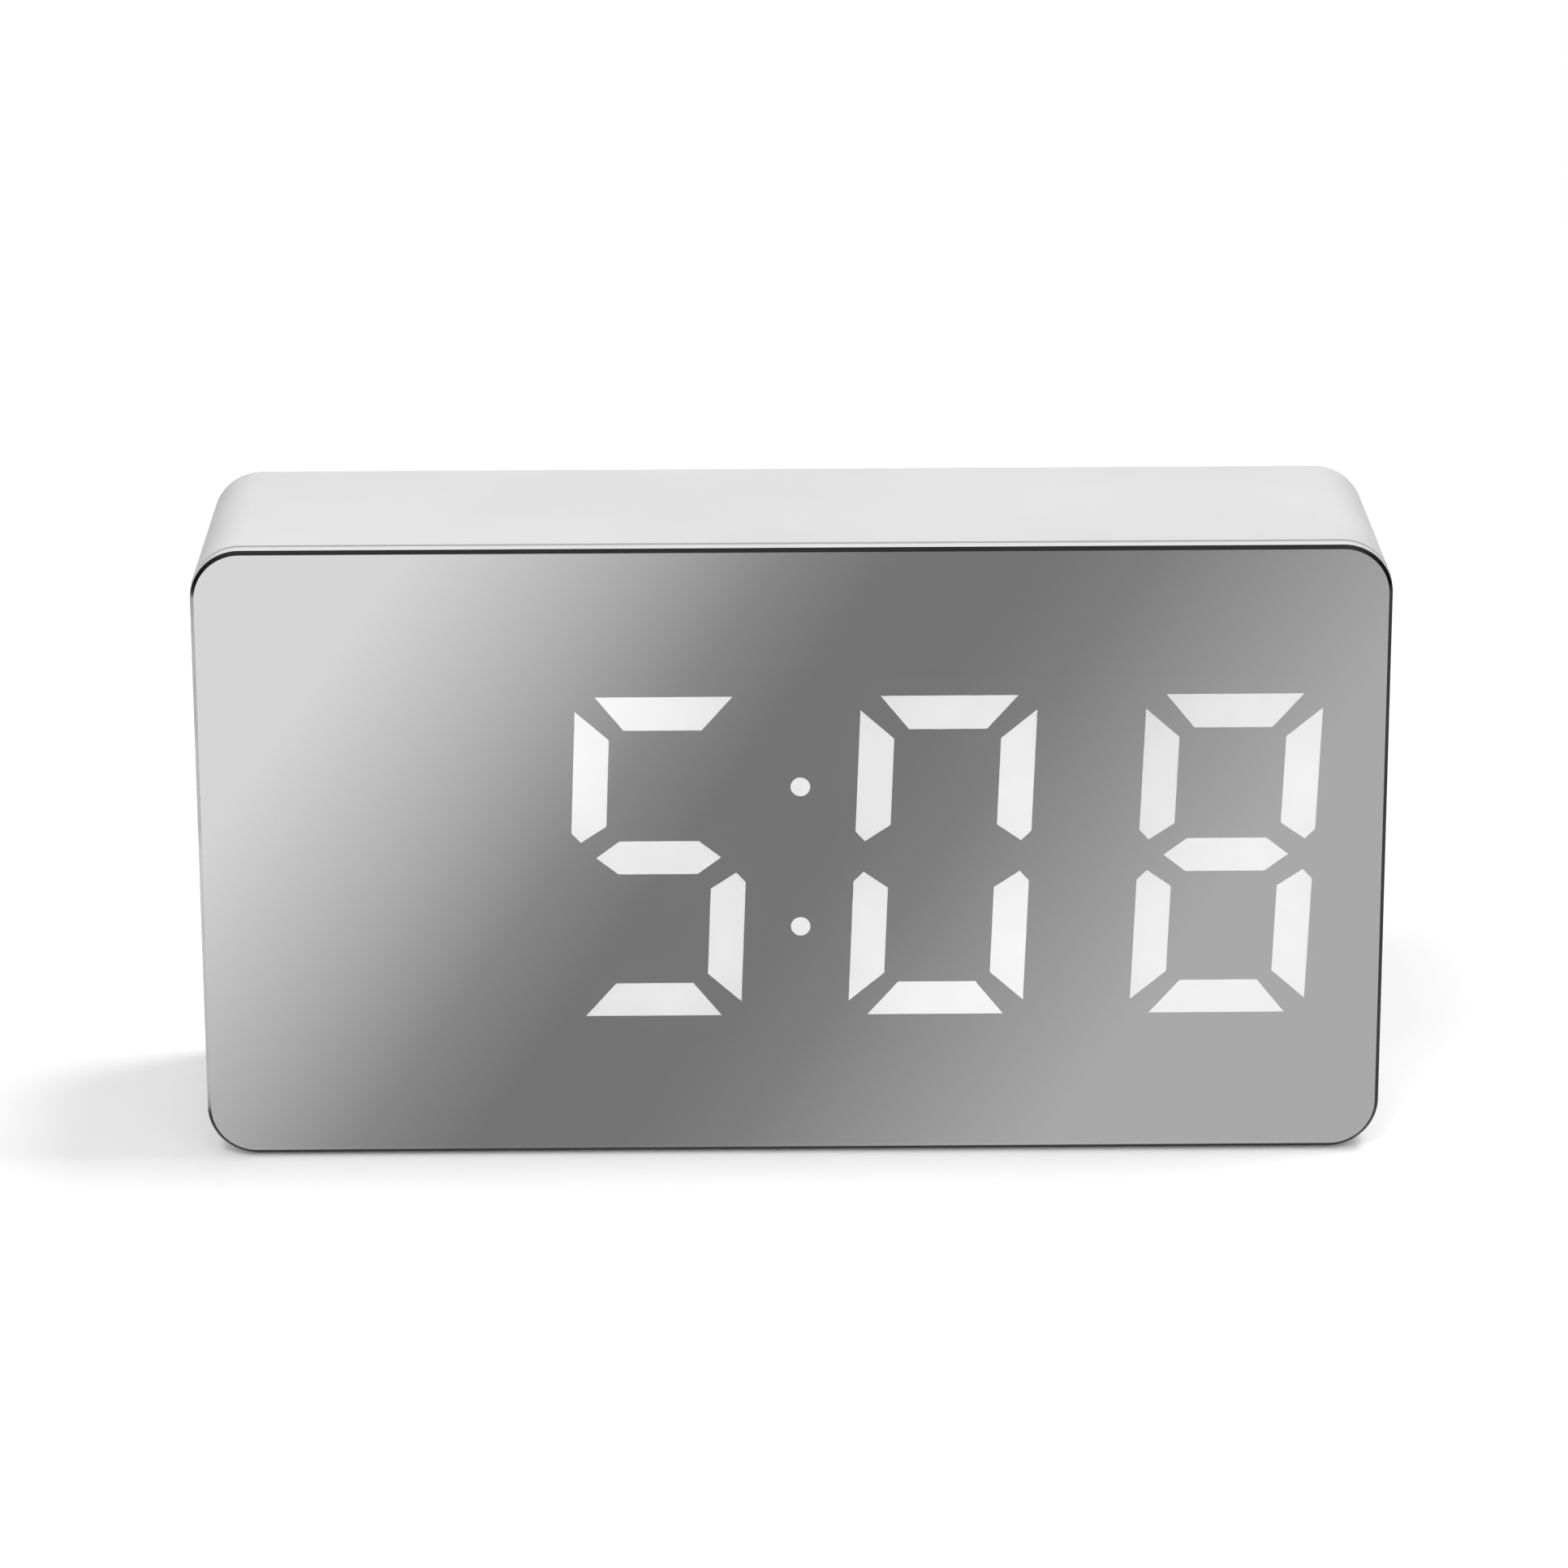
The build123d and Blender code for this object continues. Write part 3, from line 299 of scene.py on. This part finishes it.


# Flat cable: soft grey vinyl with grooves between its wires, the grooves darkened with painted shade
def ribbonVinyl(look):
    material, tree = newMaterial("pvc_grey_ribbon_extruded")
    place = addNode(tree, "TexCoord", {}, {}).outputs["Object"]
    ribs = addNode(tree, "TexWave", {"bands_direction": "X"}, {
        "Vector": place, "Scale": pi / (10 * look["wirePitch"] * mm), "Distortion": 0.0})
    tint = addNode(tree, "ValToRGB", {}, {"Fac": ribs.outputs["Fac"]})
    # The wave's low end takes the darker colour: painted shade in the grooves between the wires
    setStops(tint, [(0.0, linear(look["paintedGrooveShade"])), (look["vinylAt"], linear(look["vinyl"]))])
    relief = addNode(tree, "Bump", {}, {
        "Height": ribs.outputs["Fac"], "Distance": look["grooveDepth"] * mm, "Strength": look["grooveShown"]})
    shader = addNode(tree, "BsdfPrincipled", {}, {
        "Base Color": tint.outputs[0], "Roughness": look["roughness"], "IOR": look["ior"],
        "Normal": relief.outputs[0]})
    addNode(tree, "OutputMaterial", {}, {"Surface": shader.outputs[0]})
    return material


greyRibbon = ribbonVinyl({
    "vinyl": "9A9DA0", "paintedGrooveShade": "6F7275", "wirePitch": 1.27, "vinylAt": 0.5, "grooveDepth": 0.25,
    "grooveShown": 0.8, "roughness": 0.45, "ior": 1.53})


# Printed sleeve of a cell with its bare steel ends: where the sleeve stops is read from the cell's own box
def cellSleeve(node, tipLeft, look):
    material, tree = newMaterial("steel_cell_with_sleeve_" + node)
    low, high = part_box(node)
    place = addNode(tree, "TexCoord", {}, {}).outputs["Object"]
    along = addNode(tree, "SeparateXYZ", {}, {"Vector": place}).outputs["X"]
    fromTip = addNode(tree, "Math", {"operation": "SUBTRACT"}, {
        0: along if tipLeft else high.x, 1: low.x if tipLeft else along})
    share = addNode(tree, "Math", {"operation": "DIVIDE"}, {0: fromTip.outputs[0], 1: high.x - low.x})
    length = (high.x - low.x) / mm
    bare = linear(look["steel"])
    sleeve = addNode(tree, "ValToRGB", {}, {"Fac": share.outputs[0]})
    sleeve.color_ramp.interpolation = "CONSTANT"
    setStops(sleeve, [
        (0.0, bare), (look["tipBare"] / length, linear(look["band"])),
        (look["bandEnd"] / length, linear(look["sleeve"])), (1 - look["baseBare"] / length, bare)])
    metal = addNode(tree, "ValToRGB", {}, {"Fac": share.outputs[0]})
    metal.color_ramp.interpolation = "CONSTANT"
    setStops(metal, [
        (0.0, linear("FFFFFF")), (look["tipBare"] / length, linear("000000")),
        (1 - look["baseBare"] / length, linear("FFFFFF"))])
    scuffs = addNode(tree, "TexNoise", {}, {
        "Vector": place, "Scale": 1 / (look["scuff"] * mm), "Detail": 4.0})
    rough = addNode(tree, "MapRange", {}, {
        "Value": scuffs.outputs["Fac"], "To Min": look["roughness"][0], "To Max": look["roughness"][1]})
    relief = addNode(tree, "Bump", {}, {
        "Height": scuffs.outputs["Fac"], "Distance": look["scuffDepth"] * mm})
    shader = addNode(tree, "BsdfPrincipled", {}, {
        "Base Color": sleeve.outputs[0], "Metallic": metal.outputs[0], "Roughness": rough.outputs[0],
        "Normal": relief.outputs[0]})
    addNode(tree, "OutputMaterial", {}, {"Surface": shader.outputs[0]})
    return material


cellLook = {
    "sleeve": "2C3A46", "band": "B9A36A", "steel": "C9C8C4", "tipBare": 2.4, "bandEnd": 12.0, "baseBare": 1.2,
    "scuff": 1.2, "scuffDepth": 0.01, "roughness": (0.2, 0.42)}

# Every CAD node gets its finish
dress(whiteAbs, "front_case", "rear_cover", "battery_door")
dress(blackAbs, "display_housing", "main_header", "key_header", "key_switches", "inlet_tongue", "buzzer")
dress(darkResin, *[name for name in nodes if name.endswith("_dark_segments")])
dress(litResin["colon"], "colon_dots")
for name in ("hours", "minutes_tens", "minutes"):
    dress(litResin[name], name + "_lit_segments")
dress(ledPackage, "led_chips", "colon_leds")
dress(greenBoard, "main_board", "key_board")
dress(blackEpoxy, "controller_chip", "segment_resistors")
dress(tinnedMetal, "controller_leads")
dress(bareCan, "quartz_crystal", "filter_capacitor")
dress(nickelSteel, "contact_plates", "inlet_shell", *[n for n in nodes if n.endswith("_contact_spring")])
dress(zincSteel, "case_screws", "board_screws", "key_board_screws")
dress(rubberPad, "rubber_feet")
dress(blackFoam, "light_gasket")
dress(clearTape, "lens_tape")
dress(greyRibbon, "flat_cable")
dress(redVinyl, "positive_lead")
dress(blackVinyl, "negative_lead")
buttonNames = ("mode", "set", "up", "down")
for name in buttonNames:
    dress(greyAbs, name + "_button")
    dress(blackAbs, name + "_plunger")
for name, tipLeft in (("top_cell", True), ("middle_cell", False), ("bottom_cell", True)):
    dress(cellSleeve(name, tipLeft, cellLook), name)
print("CAD nodes dressed")


creaseAngle = radians(35)


# Closed mesh through rings of points, capped at both ends, or joined into a tube
def loft(name, rings, materials, bands=None, tube=False):
    form = bmesh.new()
    loops = [[form.verts.new(point) for point in ring] for ring in rings]
    pairs = list(zip(loops, loops[1:] + loops[:1]))
    for band, (here, there) in enumerate(pairs if tube else pairs[:-1]):
        for n in range(len(here)):
            m = (n + 1) % len(here)
            face = form.faces.new((here[n], here[m], there[m], there[n]))
            face.material_index = bands[band] if bands else 0
            face.smooth = True
    if not tube:
        for loop, slot in ((loops[0], bands[-2] if bands else 0), (loops[-1], bands[-1] if bands else 0)):
            form.faces.new(loop).material_index = slot
    bmesh.ops.recalc_face_normals(form, faces=form.faces)
    mesh = bpy.data.meshes.new(name)
    form.to_mesh(mesh)
    form.free()
    mesh.set_sharp_from_angle(angle=creaseAngle)
    for material in materials:
        mesh.materials.append(material)
    piece = bpy.data.objects.new(name, mesh)
    scene.collection.objects.link(piece)
    return piece


# Corner arcs of a rounded outline in X and Z, as offsets in millimetres
def roundedLoop(width, height, radius, steps):
    corners = [(1, 1, 0), (-1, 1, 90), (-1, -1, 180), (1, -1, 270)]
    loop = []
    for sideX, sideZ, start in corners:
        for n in range(steps + 1):
            turn = radians(start + 90 * n / steps)
            loop.append((sideX * (width / 2 - radius) + radius * cos(turn),
                         sideZ * (height / 2 - radius) + radius * sin(turn)))
    return loop


def circleLoop(radius, steps, turn=0.0):
    angles = [turn + 2 * pi * n / steps for n in range(steps)]
    return [(radius * cos(angle), radius * sin(angle)) for angle in angles]


def layLoop(loop, x, y, z):  # a loop of millimetre offsets set upright at a place in metres
    return [(x + a * mm, y, z + b * mm) for a, b in loop]


# Mirror panel: slab with a step round its front for the black bevel, and a black print behind
mirrorPanel = {"corner": 5.85, "bevel": 0.45, "cornerSteps": 24, "windowCorner": 1.0, "tapeClear": 0.03}
low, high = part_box("mirror_lens")
middle = (low + high) / 2
panelW, panelH = (high.x - low.x) / mm, (high.z - low.z) / mm
outer = roundedLoop(panelW, panelH, mirrorPanel["corner"], mirrorPanel["cornerSteps"])
inner = roundedLoop(panelW - 2 * mirrorPanel["bevel"], panelH - 2 * mirrorPanel["bevel"],
                    mirrorPanel["corner"] - mirrorPanel["bevel"], mirrorPanel["cornerSteps"])
windowLow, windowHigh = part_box("display_housing")
windowMiddle = (windowLow + windowHigh) / 2
window = roundedLoop((windowHigh.x - windowLow.x) / mm, (windowHigh.z - windowLow.z) / mm,
                     mirrorPanel["windowCorner"], mirrorPanel["cornerSteps"])
panelBack = high.y - mirrorPanel["tapeClear"] * mm
bevelBack = low.y + mirrorPanel["bevel"] * mm
panel = loft("mirror_panel", [
    layLoop(window, windowMiddle.x, panelBack, windowMiddle.z),
    layLoop(outer, middle.x, panelBack, middle.z),
    layLoop(outer, middle.x, bevelBack, middle.z),
    layLoop(inner, middle.x, bevelBack, middle.z),
    layLoop(inner, middle.x, low.y, middle.z),
], [mirrorFilm, paleEdge, clearAcrylic, blackPrint], bands=[3, 1, 3, 3, 2, 0])
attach(panel, "clock")
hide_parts("mirror_lens")
bevel = loft("panel_bevel", [
    layLoop(outer, middle.x, bevelBack, middle.z),
    layLoop(inner, middle.x, low.y, middle.z),
    layLoop(inner, middle.x, bevelBack, middle.z),
], [blackBevel], tube=True)
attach(bevel, "clock")
print("mirror panel made")

# Symbols printed on the keys: ring, block and two arrows
keySymbol = {
    "size": 2.4, "ink": 0.05, "sink": 0.05, "ringBore": 0.55, "ringSteps": 40, "block": 1.92,
    "blockCorner": 0.3, "cornerSteps": 6, "arrowRadius": 1.44}
symbolLoops = {
    "mode": circleLoop(keySymbol["size"] / 2, keySymbol["ringSteps"]),
    "set": roundedLoop(keySymbol["block"], keySymbol["block"], keySymbol["blockCorner"],
                       keySymbol["cornerSteps"]),
    "up": circleLoop(keySymbol["arrowRadius"], 3, pi / 2),
    "down": circleLoop(keySymbol["arrowRadius"], 3, -pi / 2),
}
for name in buttonNames:
    low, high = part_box(name + "_button")
    middle = (low + high) / 2
    under, over = high.y - keySymbol["sink"] * mm, high.y + keySymbol["ink"] * mm
    loop = symbolLoops[name]
    rings = [layLoop(loop, middle.x, under, middle.z), layLoop(loop, middle.x, over, middle.z)]
    if name == "mode":
        bore = [(a * keySymbol["ringBore"], b * keySymbol["ringBore"]) for a, b in loop]
        rings += [layLoop(bore, middle.x, over, middle.z), layLoop(bore, middle.x, under, middle.z)]
    symbol = loft(name + "_symbol", rings, [greyInk], tube=name == "mode")
    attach(symbol, name + "_button")
print("key symbols made")

# Contacts on both faces of the inlet's tongue
inletPads = {
    "count": 12, "pitch": 0.5, "width": 0.28, "length": 3.4, "lift": 0.03, "corner": 0.027,
    "cornerSteps": 3, "setback": 0.5, "tongue": 0.7}
low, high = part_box("inlet_tongue")
middle = (low + high) / 2
for side, label in ((1, "upper"), (-1, "lower")):
    for n in range(inletPads["count"]):
        x = middle.x + (n - (inletPads["count"] - 1) / 2) * inletPads["pitch"] * mm
        z = middle.z + side * inletPads["tongue"] / 2 * mm
        pad = roundedLoop(inletPads["width"], 2 * inletPads["lift"], inletPads["corner"],
                          inletPads["cornerSteps"])
        piece = loft(f"inlet_pad_{label}_{n + 1:02d}", [
            layLoop(pad, x, high.y - (inletPads["setback"] + inletPads["length"]) * mm, z),
            layLoop(pad, x, high.y - inletPads["setback"] * mm, z)], [goldFlash])
        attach(piece, "clock")
print("inlet contacts made")

# Floor: a sheet of white paper that ends where the white backdrop takes over
floorLook = {"size": 1.0, "paper": "FCFCFC", "fibre": 0.6}
floorMesh = bpy.data.meshes.new("floor")
half = floorLook["size"] / 2
floorCorners = [(-half, -half, 0), (half, -half, 0), (half, half, 0), (-half, half, 0)]
floorMesh.from_pydata(floorCorners, [], [(0, 1, 2, 3)])
floor = bpy.data.objects.new("floor", floorMesh)
scene.collection.objects.link(floor)
floorMesh.materials.append(grainFinish({
    "name": "paper_white_matt_sweep", "colour": floorLook["paper"], "shade": floorLook["paper"],
    "roughness": (0.9, 0.95), "grain": floorLook["fibre"], "depth": 0.002, "patch": 40, "ior": 1.3}))


# Glowing card in front of the mirror, seen only in reflections: a painted reflection, bright on the left, a
# dark band, grey on the right
reflectionCard = {
    "left": -0.4, "right": 0.4, "near": -0.0195, "far": -0.55, "height": 0.0003,
    "bandX": -6.1, "bandY": -140.0, "lean": 0.228, "fan": -1.15, "reach": 100.0,
    "bright": 0.985, "dark": 0.255, "grey": 0.58,
    "brightEnd": -75.0, "bandLeft": -14.0, "bandRight": 22.0, "greyEnd": 74.0, "softEdge": 8.0}


def cardStops(look):  # straight runs from the bright and grey ends to the dark band, its corners cut
    soft = look["softEdge"]
    leftRise = soft * (look["bright"] - look["dark"]) / (look["bandLeft"] - look["brightEnd"])
    rightRise = soft * (look["grey"] - look["dark"]) / (look["greyEnd"] - look["bandRight"])
    return [
        (look["brightEnd"], look["bright"]), (look["bandLeft"] - soft, look["dark"] + leftRise),
        (look["bandLeft"] + soft, look["dark"]), (look["bandRight"] - soft, look["dark"]),
        (look["bandRight"] + soft, look["dark"] + rightRise), (look["greyEnd"], look["grey"])]


cardMesh = bpy.data.meshes.new("reflection_card")
cardMesh.from_pydata([
    (reflectionCard[side], reflectionCard[end], reflectionCard["height"])
    for side, end in (("left", "far"), ("right", "far"), ("right", "near"), ("left", "near"))],
    [], [(0, 1, 2, 3)])
card = bpy.data.objects.new("reflection_card", cardMesh)
scene.collection.objects.link(card)
cardMaterial, tree = newMaterial("card_glowing_painted_reflection")
place = addNode(tree, "TexCoord", {}, {}).outputs["Object"]
split = addNode(tree, "SeparateXYZ", {}, {"Vector": place})
alongBand = addNode(tree, "Math", {"operation": "SUBTRACT"}, {
    0: split.outputs["Y"], 1: reflectionCard["bandY"] * mm})
acrossBand = addNode(tree, "Math", {"operation": "SUBTRACT"}, {
    0: split.outputs["X"], 1: reflectionCard["bandX"] * mm})
leaning = addNode(tree, "Math", {"operation": "MULTIPLY_ADD"}, {
    0: alongBand.outputs[0], 1: reflectionCard["lean"], 2: acrossBand.outputs[0]})
spread = addNode(tree, "Math", {"operation": "MULTIPLY_ADD"}, {
    0: alongBand.outputs[0], 1: reflectionCard["fan"], 2: 1.0})
fanned = addNode(tree, "Math", {"operation": "DIVIDE"}, {0: leaning.outputs[0], 1: spread.outputs[0]})
reach = reflectionCard["reach"] * mm
share = addNode(tree, "MapRange", {}, {"Value": fanned.outputs[0], "From Min": -reach, "From Max": reach})
grade = addNode(tree, "ValToRGB", {}, {"Fac": share.outputs[0]})
setStops(grade, [(0.5 + u / (2 * reflectionCard["reach"]), (tone, tone, tone, 1.0))
                 for u, tone in cardStops(reflectionCard)])
# The card glows with this painted gradient, which shows only as the mirror's reflection
glow = addNode(tree, "Emission", {}, {"Color": grade.outputs[0], "Strength": 1.0})
addNode(tree, "OutputMaterial", {}, {"Surface": glow.outputs[0]})
cardMesh.materials.append(cardMaterial)
hiddenRays = ("camera", "diffuse", "transmission", "volume_scatter", "shadow")
for ray in hiddenRays:
    setattr(card, "visible_" + ray, False)

# Strip light left of the clock, for the bevel alone: its glint pales the bevel's left run
glintStrip = {"inner": -84.0, "outer": -420.0, "front": -18.9, "back": 10.0, "height": 0.3,
              "nearGlow": 12.0, "farGlow": 37.0}
stripMesh = bpy.data.meshes.new("glint_strip")
stripMesh.from_pydata([
    (glintStrip[edge] * mm, glintStrip[end] * mm, glintStrip["height"] * mm)
    for edge, end in (("outer", "front"), ("inner", "front"), ("inner", "back"), ("outer", "back"))],
    [], [(0, 1, 2, 3)])
strip = bpy.data.objects.new("glint_strip", stripMesh)
scene.collection.objects.link(strip)
stripMaterial, tree = newMaterial("card_bright_strip")
place = addNode(tree, "TexCoord", {}, {}).outputs["Object"]
outward = addNode(tree, "SeparateXYZ", {}, {"Vector": place}).outputs["X"]
strength = addNode(tree, "MapRange", {}, {
    "Value": outward, "From Min": glintStrip["inner"] * mm, "From Max": glintStrip["outer"] * mm,
    "To Min": glintStrip["nearGlow"], "To Max": glintStrip["farGlow"]})
glow = addNode(tree, "Emission", {}, {"Color": linear("FFFFFF"), "Strength": strength.outputs[0]})
addNode(tree, "OutputMaterial", {}, {"Surface": glow.outputs[0]})
stripMesh.materials.append(stripMaterial)
for ray in hiddenRays:
    setattr(strip, "visible_" + ray, False)
bevelOnly = bpy.data.collections.new("bevel_only")
bevelOnly.objects.link(bevel)
strip.light_linking.receiver_collection = bevelOnly

# Studio light: a pale dome, fuller in front and dimmer at the sides and low down, and two large far lights
studio = {"dome": 0.90, "front": 0.38, "sides": 0.85, "horizon": 0.25, "fullAt": 0.5, "backdrop": 1.0}
farLights = {
    "light_right": {"strength": 1.12, "spread": 17.0, "place": (0.34, 0.1, 0.9)},
    "light_front": {"strength": 0.58, "spread": 14.0, "place": (-0.22, -0.5, 0.78)},
}
world = bpy.data.worlds.new("pale_dome")
scene.world = world
world.use_nodes = True
tree = world.node_tree
tree.nodes.clear()
skyward = addNode(tree, "TexCoord", {}, {}).outputs["Generated"]
towards = addNode(tree, "SeparateXYZ", {}, {"Vector": skyward})
frontal = addNode(tree, "Math", {"operation": "MULTIPLY_ADD"}, {
    0: towards.outputs["Y"], 1: -studio["front"], 2: 1.0})
sidewaysSquared = addNode(tree, "Math", {"operation": "MULTIPLY"}, {
    0: towards.outputs["X"], 1: towards.outputs["X"]})
graded = addNode(tree, "Math", {"operation": "MULTIPLY_ADD"}, {
    0: sidewaysSquared.outputs[0], 1: -studio["sides"], 2: frontal.outputs[0]})
rising = addNode(tree, "MapRange", {}, {
    "Value": towards.outputs["Z"], "From Max": studio["fullAt"],
    "To Min": studio["horizon"] * studio["dome"], "To Max": studio["dome"]})
domeLevel = addNode(tree, "Math", {"operation": "MULTIPLY"}, {0: graded.outputs[0], 1: rising.outputs[0]})
seen = addNode(tree, "LightPath", {}, {}).outputs["Is Camera Ray"]
level = addNode(tree, "Mix", {"data_type": "FLOAT"}, {
    "Factor": seen, "A": domeLevel.outputs[0], "B": studio["backdrop"]})
sky = addNode(tree, "Background", {}, {"Color": linear("FFFFFF"), "Strength": level.outputs[0]})
addNode(tree, "OutputWorld", {}, {"Surface": sky.outputs[0]})
for name, far in farLights.items():
    lampData = bpy.data.lights.new(name, "SUN")
    lampData.energy = far["strength"]
    lampData.angle = radians(far["spread"])
    lamp = bpy.data.objects.new(name, lampData)
    lamp.location = far["place"]
    lamp.rotation_euler = (-Vector(far["place"])).to_track_quat("-Z", "Y").to_euler()
    scene.collection.objects.link(lamp)
scene.view_settings.view_transform = "Standard"

# Camera where the photograph was taken from, looking down on the clock
cameraView = {
    "focalPx": 7200.8, "framePx": 1932, "sensor": 36.0, "pitch": 17.65, "yaw": -0.508, "roll": -0.198,
    "place": (-6.78, -671.51, 253.98), "clipStart": 10.0}
lensData = bpy.data.cameras.new("photo_camera")
lensData.sensor_width = cameraView["sensor"]
lensData.lens = cameraView["sensor"] * cameraView["focalPx"] / cameraView["framePx"]
lensData.clip_start = cameraView["clipStart"] * mm
camera = bpy.data.objects.new("photo_camera", lensData)
aim = (Euler((0, 0, radians(cameraView["yaw"]))).to_matrix()
       @ Euler((radians(90 - cameraView["pitch"]), 0, 0)).to_matrix()
       @ Euler((0, 0, radians(cameraView["roll"]))).to_matrix()).to_4x4()
camera.matrix_world = aim
camera.location = Vector(cameraView["place"]) * mm
scene.collection.objects.link(camera)
scene.camera = camera
print("stage, light and camera set")
